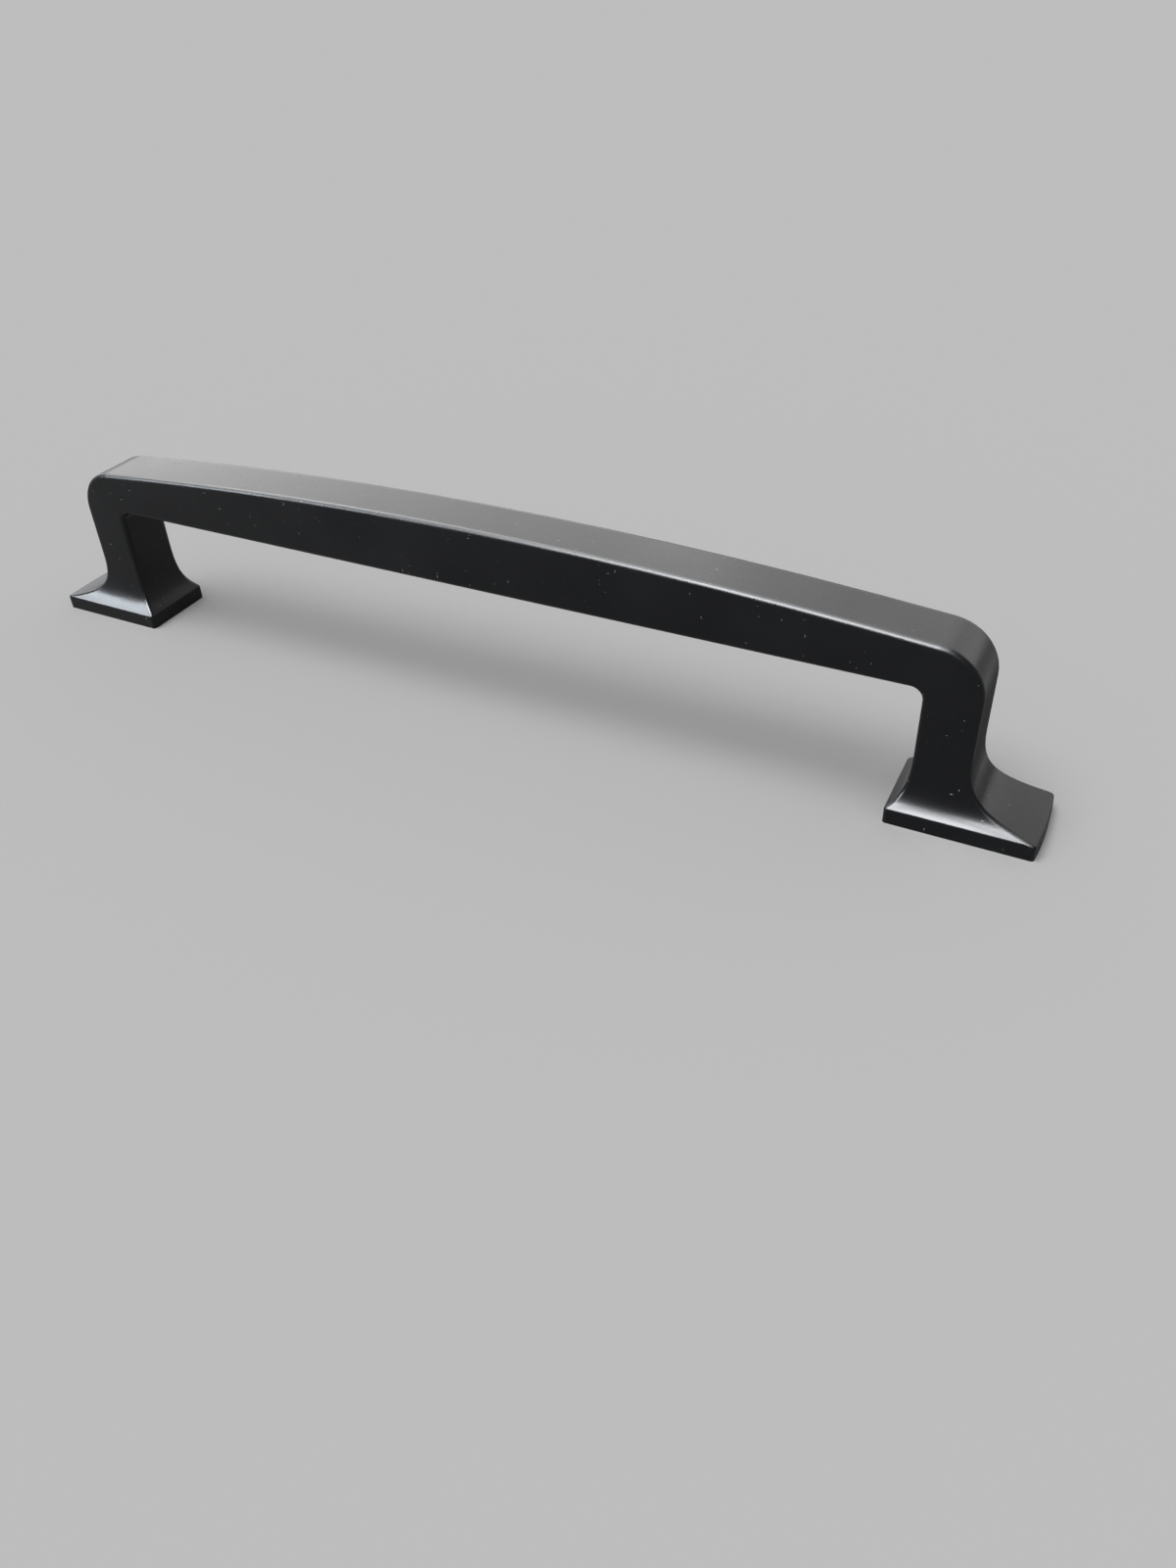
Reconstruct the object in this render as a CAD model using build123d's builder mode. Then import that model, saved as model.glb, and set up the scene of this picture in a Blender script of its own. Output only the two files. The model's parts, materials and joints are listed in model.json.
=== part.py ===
"""Cabinet pull: one casting with a crowned bar, two posts and two flared, mitred feet.

Millimetres. The origin is in the mounting plane, midway between the two screw holes.
+X runs along the bar and +Z points away from the cabinet face.
"""

import os

from build123d import *

# Driving dimensions of the bar
grip_clearance = 23.3  # mounting plane to the flat underside of the bar
bar_thickness = 10.9  # at the crown, in the middle of the bar
crown_drop = 4.2  # fall of the top from the crown to the outer face of a post
bar_width = 9.9  # bar and posts, front to back
shoulder_radius = 8.0  # outside turn from the bar into a post
grip_fillet = 2.0  # inside turn from the bar into a post

# Driving dimensions of the posts and feet
hole_spacing = 160.0  # screw hole to screw hole, and post to post
post_width = 8.5  # along the bar
toe_overhang = 11.2  # corners of the foot past its post, outwards
toe_bow = 0.45  # middle of the toe's end past its corners
heel_overhang = 2.8  # foot past its post, towards the other foot
side_overhang = 2.2  # foot past its post, front and back
rim_height = 2.6  # upright edge of a foot
flare_height = 10.4  # rim to the place where the post becomes straight

# Shape of the flare, as shares of its height and of its overhang
neck_hold = 0.615  # how far down the curve follows the post
rim_reach = 0.8  # how far in from the rim the curve keeps to its end slope
rim_rise = 0.21  # how far up it has climbed there

# Driving dimensions of the edges and of the tapped holes
edge_radius = 0.6
thread_radius = 2.0  # outer radius of an M4 thread
hole_depth = 12.0
mouth_chamfer = 0.5
mouth_angle = 90.0  # across the cone of the chamfer, in degrees

# Places that follow from the driving dimensions
crown_height = grip_clearance + bar_thickness
shoulder_height = crown_height - crown_drop
neck_height = rim_height + flare_height
post_outer = hole_spacing / 2 + post_width / 2
post_inner = hole_spacing / 2 - post_width / 2
toe_corner = post_outer + toe_overhang
toe_end = toe_corner + toe_bow
toe_run = 1 + toe_bow / toe_overhang  # how far the toe's curve is drawn, for its bowed end to cut
past_toes = toe_end + toe_overhang
heel_end = post_inner - heel_overhang
bar_side = bar_width / 2
foot_side = bar_side + side_overhang
above_crown = crown_height + bar_thickness


def flare(face, overhang):
    """Control points of the concave curve from a post's face down to the rim of its foot."""
    rim = face + overhang
    return (
        Vector(face, neck_height),
        Vector(face, neck_height - neck_hold * flare_height),
        Vector(rim - rim_reach * overhang, rim_height + rim_rise * flare_height),
        Vector(rim, rim_height),
    )


def run_on(points, run):
    """Control points of the same curve, drawn past its end when run is over 1."""
    kept = [points[0]]
    while len(points) > 1:
        points = [start + (end - start) * run for start, end in zip(points, points[1:])]
        kept.append(points[0])
    return kept


with BuildPart() as pull:
    # Front elevation, as deep as the feet
    with BuildSketch(Plane.XZ.offset(-foot_side)) as elevation:
        with BuildLine():
            ThreePointArc((-post_outer, shoulder_height), (0, crown_height), (post_outer, shoulder_height))
            Line((-post_inner, grip_clearance), (post_inner, grip_clearance))
            for side in (-1, 1):
                Line((side * post_outer, shoulder_height), (side * post_outer, neck_height))
                toe = Bezier(*run_on(flare(side * post_outer, side * toe_overhang), toe_run))
                Polyline(
                    toe @ 1,
                    ((toe @ 1).X, 0),
                    (side * heel_end, 0),
                    (side * heel_end, rim_height),
                )
                Bezier(*flare(side * post_inner, -side * heel_overhang))
                Line((side * post_inner, neck_height), (side * post_inner, grip_clearance))
        make_face()
        fillet(elevation.vertices().group_by(Axis.Y)[-2], radius=grip_fillet)
        fillet(elevation.vertices().group_by(Axis.Y)[-1], radius=shoulder_radius)
    extrude(amount=2 * foot_side)

    # End view, which narrows the bar and posts and meets the flares in mitres
    with BuildSketch(Plane.YZ.offset(-past_toes)) as end_view:
        with BuildLine():
            Polyline((-foot_side, rim_height), (-foot_side, 0), (foot_side, 0), (foot_side, rim_height))
            for side in (-1, 1):
                Bezier(*flare(side * bar_side, side * side_overhang))
                Line((side * bar_side, neck_height), (side * bar_side, above_crown))
            Line((-bar_side, above_crown), (bar_side, above_crown))
        make_face()
    extrude(amount=2 * past_toes, mode=Mode.INTERSECT)

    # Plan, which bows the ends of the toes
    with BuildSketch() as plan:
        with BuildLine():
            for side in (-1, 1):
                Line((-toe_corner, side * foot_side), (toe_corner, side * foot_side))
                ThreePointArc(
                    (side * toe_corner, -foot_side),
                    (side * toe_end, 0),
                    (side * toe_corner, foot_side),
                )
        make_face()
    extrude(amount=above_crown, mode=Mode.INTERSECT)

    # Soft edges all over, except where the feet meet the cabinet face
    bar_faces = pull.faces().filter_by(Axis.Y).sort_by(SortBy.AREA)[-2:]
    bar_edges = bar_faces.edges().filter_by(lambda edge: edge.center().Z > neck_height + edge_radius)
    foot_edges = pull.edges().filter_by_position(Axis.Z, 0, rim_height + edge_radius, (False, False))
    mitres = pull.edges().filter_by(GeomType.BSPLINE).filter_by_position(
        Axis.Z, rim_height + edge_radius, neck_height
    )
    fillet(bar_edges + mitres + foot_edges, radius=edge_radius)

    # Blind tapped holes up the middle of the posts
    with Locations(Plane(origin=(0, 0, 0), x_dir=(1, 0, 0), z_dir=(0, 0, -1))):
        with GridLocations(hole_spacing, 0, 2, 1):
            CounterSinkHole(
                radius=thread_radius,
                counter_sink_radius=thread_radius + mouth_chamfer,
                depth=hole_depth,
                counter_sink_angle=mouth_angle,
            )

pull.part.label = "pull"
os.makedirs("parts", exist_ok=True)
export_step(pull.part, "parts/pull.step")
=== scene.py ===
"""Looks of the cabinet pull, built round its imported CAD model.

Metres, in the CAD frame: the origin is in the mounting plane midway between the screw holes, +X runs along
the bar and +Z points away from the cabinet face.
"""

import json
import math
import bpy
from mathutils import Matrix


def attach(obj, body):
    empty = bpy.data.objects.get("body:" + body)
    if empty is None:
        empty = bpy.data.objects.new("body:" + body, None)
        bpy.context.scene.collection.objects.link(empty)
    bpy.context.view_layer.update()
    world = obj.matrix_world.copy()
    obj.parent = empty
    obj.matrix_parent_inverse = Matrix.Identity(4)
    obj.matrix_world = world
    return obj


bl_info = {
    "name": "Cabinet Pull",
    "version": (1, 0, 0),
    "blender": (4, 5, 0),
    "location": "View3D > Sidebar > Cabinet Pull",
    "description": "Coats a cabinet pull, cuts its screw threads and sets up a studio round it",
    "category": "Object",
}

import bmesh
import bpy
from bpy.props import FloatProperty, FloatVectorProperty, IntProperty, PointerProperty
from mathutils import Matrix, Vector

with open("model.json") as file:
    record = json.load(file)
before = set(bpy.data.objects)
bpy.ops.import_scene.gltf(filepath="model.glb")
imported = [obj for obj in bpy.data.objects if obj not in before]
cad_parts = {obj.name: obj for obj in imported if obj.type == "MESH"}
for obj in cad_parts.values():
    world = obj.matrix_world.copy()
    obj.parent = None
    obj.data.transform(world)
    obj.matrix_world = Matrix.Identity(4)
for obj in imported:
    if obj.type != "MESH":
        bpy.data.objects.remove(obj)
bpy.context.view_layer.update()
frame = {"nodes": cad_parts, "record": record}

MILLIMETRE = 0.001
COAT_SLOT = "black_coat"
MOUNTS = {mount["name"]: mount for mount in frame["record"]["mounts"]}
THREAD_MOUNTS = ("left_thread", "right_thread")

# Coat
COAT_IOR = 1.5
SHEEN_SCALE = 60.0  # waves of the sheen's slow drift in a metre
SHEEN_DETAIL = 4.0
SHEEN_NOISE = (0.3, 0.7)  # noise values at which the drift reaches its ends
GLANCE = (0.70, 0.90)  # where the gloss starts and ends its fade, from 0 straight on to 1 edge on
GRAIN_DETAIL = 2.0
EDGE_HEIGHTS = (12.0 * MILLIMETRE, 16.0 * MILLIMETRE)  # feet's edges up to the first, bar's from the second
EDGE_SAMPLES = 8
DUST_ROUGHNESS = 0.9

# Dust: cells in a metre along each axis, turn of the cells, reach of a spot, share of bare cells
DUST = (
    ((1000.0, 1000.0, 1000.0), (0.0, 0.0, 0.0), 0.085, 0.84),  # round specks
    ((400.0, 2200.0, 2200.0), (0.6, 0.5, 0.7), 0.13, 0.92),  # lint
    ((2200.0, 2200.0, 400.0), (-0.5, 0.6, 0.3), 0.13, 0.92),  # lint that lies across the other
)

# Thread
FLANK_ANGLE = math.radians(30.0)
CREST_SHARE = 0.25  # width of the crest as a share of the pitch
WALL_OVERLAP = 0.02 * MILLIMETRE  # how far the ridge reaches into the wall of the hole
MOUTH_ROOM = 0.3 * MILLIMETRE  # left free at the mouth of the hole
END_ROOM = 1.0 * MILLIMETRE  # left free, at least, at the end of the hole

# Stage
FLOOR_REACH = 40.0
FLOOR_ROUGHNESS = 0.9
KEY_PLACE = (-1.00, -0.80, 3.00)
SENSOR_WIDTH = 36.0
CLIP_START = 0.01
WHITE = (1.0, 1.0, 1.0)

# Soft panels that only the coat mirrors: middle, width and height, tint
PANELS = {
    "front": ((-0.184, -0.867, 0.951), (0.75, 1.00), (0.96, 0.97, 1.0)),
    "side": ((-0.935, -0.887, 0.432), (0.40, 0.504), (0.86, 0.93, 1.0)),
    "top": ((-0.45, 0.10, 1.35), (1.30, 2.10), WHITE),
    "high": ((-0.396, 0.981, 1.456), (1.80, 0.80), WHITE),
    "back": ((-1.80, 1.48, 1.00), (2.87, 2.40), WHITE),
    "right": ((0.42, 2.157, 0.97), (2.65, 1.42), WHITE),
}


class CabinetPullCoat(bpy.types.PropertyGroup):
    """Finish of the matte black coat."""

    colour: FloatVectorProperty(
        name="Coat Colour",
        description="Colour of the clean coat",
        subtype="COLOR",
        size=3,
        min=0.0,
        max=1.0,
        default=(0.0025, 0.003, 0.0042),
    )
    roughness: FloatProperty(
        name="Roughness",
        description="Mean roughness of the coat",
        subtype="FACTOR",
        min=0.0,
        max=1.0,
        default=0.28,
    )
    roughness_swing: FloatProperty(
        name="Roughness Swing",
        description="How far the roughness drifts to either side of its mean",
        subtype="FACTOR",
        min=0.0,
        max=0.3,
        default=0.05,
    )
    glancing_roughness: FloatProperty(
        name="Glancing Roughness",
        description="Roughness of the coat where it is seen at a glancing angle",
        subtype="FACTOR",
        min=0.0,
        max=1.0,
        default=0.90,
    )
    specular: FloatProperty(
        name="Specular Level",
        description="Strength of the coat's reflection when seen straight on",
        subtype="FACTOR",
        min=0.0,
        max=1.0,
        default=0.20,
    )
    grain_size: FloatProperty(
        name="Grain Size",
        description="Width of one grain of the coat",
        unit="LENGTH",
        min=0.00005,
        default=0.45 * MILLIMETRE,
    )
    grain_depth: FloatProperty(
        name="Grain Depth",
        description="Height of the grain",
        unit="LENGTH",
        min=0.0,
        default=0.0025 * MILLIMETRE,
    )
    bar_softness: FloatProperty(
        name="Bar Edge Softness",
        description="How far the coat softens the look of the bar's edges",
        unit="LENGTH",
        min=0.0,
        default=0.9 * MILLIMETRE,
    )
    foot_softness: FloatProperty(
        name="Foot Edge Softness",
        description="How far the coat softens the look of the feet's edges",
        unit="LENGTH",
        min=0.0,
        default=0.2 * MILLIMETRE,
    )
    dust_colour: FloatVectorProperty(
        name="Dust Colour",
        description="Colour of the dust on the coat",
        subtype="COLOR",
        size=3,
        min=0.0,
        max=1.0,
        default=(0.40, 0.40, 0.38),
    )


class CabinetPullThread(bpy.types.PropertyGroup):
    """Sizes of the thread in the screw holes."""

    pitch: FloatProperty(
        name="Pitch",
        description="Rise of the thread in one turn",
        unit="LENGTH",
        min=0.0002,
        default=0.7 * MILLIMETRE,
    )
    crest_radius: FloatProperty(
        name="Crest Radius",
        description="Radius of the hole between the crests of the thread",
        unit="LENGTH",
        min=0.0005,
        default=1.621 * MILLIMETRE,
    )
    steps: IntProperty(
        name="Steps",
        description="Straight steps in one turn of the thread",
        min=12,
        max=96,
        default=36,
    )


class CabinetPullStage(bpy.types.PropertyGroup):
    """Floor, light and camera."""

    floor_colour: FloatVectorProperty(
        name="Floor Colour",
        description="Colour of the floor",
        subtype="COLOR",
        size=3,
        min=0.0,
        max=1.0,
        default=(0.50, 0.50, 0.50),
    )
    air_colour: FloatVectorProperty(
        name="Surround Colour",
        description="Colour of the light that comes from all round",
        subtype="COLOR",
        size=3,
        min=0.0,
        max=1.0,
        default=WHITE,
    )
    air_strength: FloatProperty(
        name="Surround Strength",
        description="Strength of the light that comes from all round",
        min=0.0,
        default=0.60,
    )
    air_seen: FloatProperty(
        name="Surround Seen",
        description="Strength of the surround where it is seen or mirrored, which meets the floor's tone",
        min=0.0,
        default=0.515,
    )
    key_strength: FloatProperty(
        name="Key Light",
        description="Strength of the broad light from above",
        min=0.0,
        default=1.45,
    )
    key_spread: FloatProperty(
        name="Key Spread",
        description="How wide the broad light looks, which softens its shadows",
        subtype="ANGLE",
        min=0.0,
        max=math.pi,
        default=math.radians(38.0),
    )
    front_power: FloatProperty(
        name="Front Panel",
        description="Power of the soft panel in front",
        unit="POWER",
        min=0.0,
        default=150.0,
    )
    side_power: FloatProperty(
        name="Side Panel",
        description="Power of the small soft panel in front, on the left",
        unit="POWER",
        min=0.0,
        default=27.0,
    )
    top_power: FloatProperty(
        name="Top Panel",
        description="Power of the soft panel overhead",
        unit="POWER",
        min=0.0,
        default=120.0,
    )
    high_power: FloatProperty(
        name="High Panel",
        description="Power of the soft panel behind, high up",
        unit="POWER",
        min=0.0,
        default=25.0,
    )
    back_power: FloatProperty(
        name="Back Panel",
        description="Power of the wide soft panel behind, on the left",
        unit="POWER",
        min=0.0,
        default=53.0,
    )
    right_power: FloatProperty(
        name="Right Panel",
        description="Power of the wide soft panel behind, on the right",
        unit="POWER",
        min=0.0,
        default=21.0,
    )
    camera_place: FloatVectorProperty(
        name="Camera Place",
        description="Where the camera stands",
        subtype="TRANSLATION",
        unit="LENGTH",
        size=3,
        default=(0.100996, -0.152231, 0.118698),
    )
    camera_turn: FloatProperty(
        name="Camera Turn",
        description="How far the camera is turned to the left of straight ahead",
        subtype="ANGLE",
        default=math.radians(28.389),
    )
    camera_tilt: FloatProperty(
        name="Camera Tilt",
        description="How far the camera looks down",
        subtype="ANGLE",
        default=math.radians(37.660),
    )
    camera_roll: FloatProperty(
        name="Camera Roll",
        description="How far the camera is rolled about its line of sight",
        subtype="ANGLE",
        default=math.radians(-2.647),
    )
    camera_lens: FloatProperty(
        name="Camera Lens",
        description="Focal length for a sensor 36 mm along its long side",
        unit="CAMERA",
        min=1.0,
        default=27.756,
    )


def add_node(tree, kind, sockets=None, **settings):
    """A new shader node, with its settings, and with its sockets linked or given a value."""
    node = tree.nodes.new(kind)
    for name, value in settings.items():
        setattr(node, name, value)
    for name, value in (sockets or {}).items():
        if isinstance(value, bpy.types.NodeSocket):
            tree.links.new(value, node.inputs[name])
        else:
            node.inputs[name].default_value = value
    return node


def rescaled(tree, value, source, target=(0.0, 1.0), **settings):
    """A value taken from one range to another, and held between its ends."""
    sockets = {
        "Value": value,
        "From Min": source[0],
        "From Max": source[1],
        "To Min": target[0],
        "To Max": target[1],
    }
    return add_node(tree, "ShaderNodeMapRange", sockets, **settings).outputs["Result"]


def noise(tree, place, scale, detail):
    """Soft, uneven waves, of which there are about as many in a metre as the scale says."""
    sockets = {"Vector": place, "Scale": scale, "Detail": detail}
    return add_node(tree, "ShaderNodeTexNoise", sockets).outputs["Fac"]


def mixed(tree, kind, share, first, second):
    """Two values or colours, mixed by the share of the second."""
    sockets = {"Factor": share, "A": first, "B": second}
    return add_node(tree, "ShaderNodeMix", sockets, data_type=kind).outputs["Result"]


def larger(tree, first, second):
    """The larger of two values."""
    return add_node(tree, "ShaderNodeMath", {0: first, 1: second}, operation="MAXIMUM").outputs["Value"]


def black_coat(settings):
    """Matte black coat with a fine satin grain, uneven sheen and a little dust."""
    material = bpy.data.materials.new(COAT_SLOT)
    material.use_nodes = True
    tree = material.node_tree
    tree.nodes.clear()
    place = add_node(tree, "ShaderNodeTexCoord").outputs["Object"]
    dust = dust_cover(tree, place)
    shader = add_node(
        tree,
        "ShaderNodeBsdfPrincipled",
        {
            "Base Color": mixed(tree, "RGBA", dust, (*settings.colour, 1.0), (*settings.dust_colour, 1.0)),
            "Roughness": mixed(tree, "FLOAT", dust, coat_roughness(tree, place, settings), DUST_ROUGHNESS),
            "IOR": COAT_IOR,
            "Specular IOR Level": settings.specular,
            "Normal": coat_relief(tree, place, settings),
        },
    )
    add_node(tree, "ShaderNodeOutputMaterial", {"Surface": shader.outputs["BSDF"]})
    return material


def coat_roughness(tree, place, settings):
    """Roughness that drifts slowly over the coat, and rises where the coat is seen at a glancing angle."""
    drift = noise(tree, place, SHEEN_SCALE, SHEEN_DETAIL)
    smoothest = settings.roughness - settings.roughness_swing
    roughest = settings.roughness + settings.roughness_swing
    sheen = rescaled(tree, drift, SHEEN_NOISE, (smoothest, roughest))
    facing = add_node(tree, "ShaderNodeLayerWeight").outputs["Facing"]
    return mixed(tree, "FLOAT", rescaled(tree, facing, GLANCE), sheen, settings.glancing_roughness)


def coat_relief(tree, place, settings):
    """Fine grain over edges that look softer on the bar than on the feet."""
    height = add_node(tree, "ShaderNodeSeparateXYZ", {"Vector": place}).outputs["Z"]
    softness = rescaled(tree, height, EDGE_HEIGHTS, (settings.foot_softness, settings.bar_softness))
    edges = add_node(tree, "ShaderNodeBevel", {"Radius": softness}, samples=EDGE_SAMPLES).outputs["Normal"]
    grain = noise(tree, place, 1.0 / settings.grain_size, GRAIN_DETAIL)
    sockets = {"Strength": 1.0, "Distance": settings.grain_depth, "Height": grain, "Normal": edges}
    return add_node(tree, "ShaderNodeBump", sockets).outputs["Normal"]


def dust_cover(tree, place):
    """How far dust covers the coat, from 0 to 1."""
    specks, lint, stray_lint = (scatter(tree, place, *kind) for kind in DUST)
    return larger(tree, specks, larger(tree, lint, stray_lint))


def scatter(tree, place, scale, turn, reach, bare):
    """Spots in some of the cells of a pattern: how far they reach, and the share of cells without one."""
    laid = add_node(tree, "ShaderNodeMapping", {"Vector": place, "Rotation": turn, "Scale": scale})
    cells = add_node(tree, "ShaderNodeTexVoronoi", {"Vector": laid.outputs["Vector"], "Scale": 1.0})
    spot = rescaled(tree, cells.outputs["Distance"], (reach, reach / 2), interpolation_type="SMOOTHSTEP")
    draw = add_node(tree, "ShaderNodeSeparateColor", {"Color": cells.outputs["Color"]}).outputs["Red"]
    chosen = rescaled(tree, draw, (bare, 1.0))
    return add_node(tree, "ShaderNodeMath", {0: spot, 1: chosen}, operation="MULTIPLY").outputs["Value"]


def coat_material(context):
    """The coat, made once and shared by every piece."""
    return bpy.data.materials.get(COAT_SLOT) or black_coat(context.scene.cabinet_pull_coat)


class CABINETPULL_OT_coat(bpy.types.Operator):
    """Give the casting its coat."""

    bl_idname = "cabinet_pull.coat"
    bl_label = "Coat the Casting"

    def execute(self, context):
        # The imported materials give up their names, so that the coat can have its slot's name
        for packed in list(bpy.data.materials):
            packed.name = "packed_" + packed.name
        materials = frame["nodes"]["pull"].data.materials
        materials.clear()
        materials.append(coat_material(context))
        return {"FINISHED"}


class CABINETPULL_OT_threads(bpy.types.Operator):
    """Wind a thread up each screw hole."""

    bl_idname = "cabinet_pull.threads"
    bl_label = "Cut the Threads"

    def execute(self, context):
        for name in THREAD_MOUNTS:
            thread = wind_thread(name, MOUNTS[name], context.scene.cabinet_pull_thread)
            thread.data.materials.append(coat_material(context))
            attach(thread, "root")
        return {"FINISHED"}


def wind_thread(name, mount, settings):
    """A ridge with sloping flanks, wound up the wall of a screw hole."""
    wall = mount["dims"]["r_mm"] * MILLIMETRE + WALL_OVERLAP
    half_length = mount["dims"]["length_mm"] * MILLIMETRE / 2
    middle_x, middle_y, middle_z = mount["pos_m"]
    crest_half = CREST_SHARE * settings.pitch / 2
    foot_half = crest_half + (wall - settings.crest_radius) * math.tan(FLANK_ANGLE)
    low = middle_z - half_length + foot_half + MOUTH_ROOM
    high = middle_z + half_length - foot_half - END_ROOM
    turns = math.floor((high - low) / settings.pitch)
    outline = (
        (wall, -foot_half),
        (wall, foot_half),
        (settings.crest_radius, crest_half),
        (settings.crest_radius, -crest_half),
    )

    bm = bmesh.new()
    sections = []
    for step in range(settings.steps * turns + 1):
        turned = step / settings.steps
        x = math.cos(2 * math.pi * turned)
        y = math.sin(2 * math.pi * turned)
        rise = low + settings.pitch * turned
        sections.append([bm.verts.new((middle_x + r * x, middle_y + r * y, rise + z)) for r, z in outline])
    bm.faces.new(sections[0])
    bm.faces.new(sections[-1][::-1])
    for before, after in zip(sections, sections[1:]):
        for corner in range(len(outline)):
            bm.faces.new((before[corner], before[corner - 1], after[corner - 1], after[corner]))
    return mesh_object(name, bm)


def mesh_object(name, bm):
    """An object at the origin with a bmesh's shape, in the scene."""
    mesh = bpy.data.meshes.new(name)
    bm.to_mesh(mesh)
    bm.free()
    piece = bpy.data.objects.new(name, mesh)
    bpy.context.scene.collection.objects.link(piece)
    return piece


class CABINETPULL_OT_stage(bpy.types.Operator):
    """Lay the floor, hang the lights and stand the camera."""

    bl_idname = "cabinet_pull.stage"
    bl_label = "Set the Stage"

    def execute(self, context):
        scene = context.scene
        settings = scene.cabinet_pull_stage
        lay_floor(settings)
        fill_air(scene, settings)
        hang_key(settings)
        for name, (place, size, tint) in PANELS.items():
            hang_panel(name + "_panel", place, size, tint, getattr(settings, name + "_power"))
        stand_camera(scene, settings)
        scene.view_settings.view_transform = "Standard"
        return {"FINISHED"}


def lay_floor(settings):
    """A wide, plain floor in the mounting plane."""
    bm = bmesh.new()
    bmesh.ops.create_grid(bm, x_segments=1, y_segments=1, size=FLOOR_REACH)
    floor = mesh_object("floor", bm)
    material = bpy.data.materials.new("pale_floor")
    material.use_nodes = True
    shader = material.node_tree.nodes["Principled BSDF"]
    shader.inputs["Base Color"].default_value = (*settings.floor_colour, 1.0)
    shader.inputs["Roughness"].default_value = FLOOR_ROUGHNESS
    shader.inputs["Specular IOR Level"].default_value = 0.0
    floor.data.materials.append(material)


def fill_air(scene, settings):
    """Even light from all round, which looks like the floor where it is seen or mirrored."""
    world = bpy.data.worlds.new("studio_air")
    world.use_nodes = True
    tree = world.node_tree
    ray = add_node(tree, "ShaderNodeLightPath").outputs
    mirrored = larger(tree, ray["Is Glossy Ray"], ray["Is Transmission Ray"])
    seen = larger(tree, ray["Is Camera Ray"], mirrored)
    strength = mixed(tree, "FLOAT", seen, settings.air_strength, settings.air_seen)
    background = tree.nodes["Background"]
    background.inputs["Color"].default_value = (*settings.air_colour, 1.0)
    tree.links.new(strength, background.inputs["Strength"])
    scene.world = world


def hang_key(settings):
    """Broad, even light from above on the left, which lights surfaces and isn't mirrored."""
    data = bpy.data.lights.new("key_light", "SUN")
    data.energy = settings.key_strength
    data.angle = settings.key_spread
    aim_light(data, KEY_PLACE).visible_glossy = False


def hang_panel(name, place, size, tint, power):
    """A soft panel that is only mirrored, so that it leaves the floor and the dust as they are."""
    data = bpy.data.lights.new(name, "AREA")
    data.shape = "RECTANGLE"
    data.size, data.size_y = size
    data.color = tint
    data.energy = power
    aim_light(data, place).visible_diffuse = False


def aim_light(data, place):
    """A light that points at the pull."""
    light = bpy.data.objects.new(data.name, data)
    bpy.context.scene.collection.objects.link(light)
    light.location = place
    light.rotation_euler = (-Vector(place)).to_track_quat("-Z", "Y").to_euler()
    return light


def stand_camera(scene, settings):
    """The camera at the photograph's angle."""
    data = bpy.data.cameras.new("camera")
    data.lens = settings.camera_lens
    data.sensor_width = SENSOR_WIDTH
    data.clip_start = CLIP_START
    camera = bpy.data.objects.new("camera", data)
    scene.collection.objects.link(camera)
    camera.matrix_world = (
        Matrix.Translation(settings.camera_place)
        @ Matrix.Rotation(settings.camera_turn, 4, "Z")
        @ Matrix.Rotation(math.pi / 2 - settings.camera_tilt, 4, "X")
        @ Matrix.Rotation(settings.camera_roll, 4, "Z")
    )
    scene.camera = camera


class CABINETPULL_PT_panel(bpy.types.Panel):
    """Sizes, colours and steps of the cabinet pull."""

    bl_idname = "CABINETPULL_PT_panel"
    bl_label = "Cabinet Pull"
    bl_space_type = "VIEW_3D"
    bl_region_type = "UI"
    bl_category = "Cabinet Pull"

    def draw(self, context):
        for operator, group in (
            (CABINETPULL_OT_coat, context.scene.cabinet_pull_coat),
            (CABINETPULL_OT_threads, context.scene.cabinet_pull_thread),
            (CABINETPULL_OT_stage, context.scene.cabinet_pull_stage),
        ):
            box = self.layout.box()
            for name in group.__annotations__:
                box.prop(group, name)
            box.operator(operator.bl_idname)


CLASSES = (
    CabinetPullCoat,
    CabinetPullThread,
    CabinetPullStage,
    CABINETPULL_OT_coat,
    CABINETPULL_OT_threads,
    CABINETPULL_OT_stage,
    CABINETPULL_PT_panel,
)


def register():
    for cls in CLASSES:
        bpy.utils.register_class(cls)
    bpy.types.Scene.cabinet_pull_coat = PointerProperty(type=CabinetPullCoat)
    bpy.types.Scene.cabinet_pull_thread = PointerProperty(type=CabinetPullThread)
    bpy.types.Scene.cabinet_pull_stage = PointerProperty(type=CabinetPullStage)


def unregister():
    del bpy.types.Scene.cabinet_pull_stage
    del bpy.types.Scene.cabinet_pull_thread
    del bpy.types.Scene.cabinet_pull_coat
    for cls in reversed(CLASSES):
        bpy.utils.unregister_class(cls)


def main():
    register()
    bpy.ops.cabinet_pull.coat()
    bpy.ops.cabinet_pull.threads()
    bpy.ops.cabinet_pull.stage()


if __name__ == "__main__":
    main()
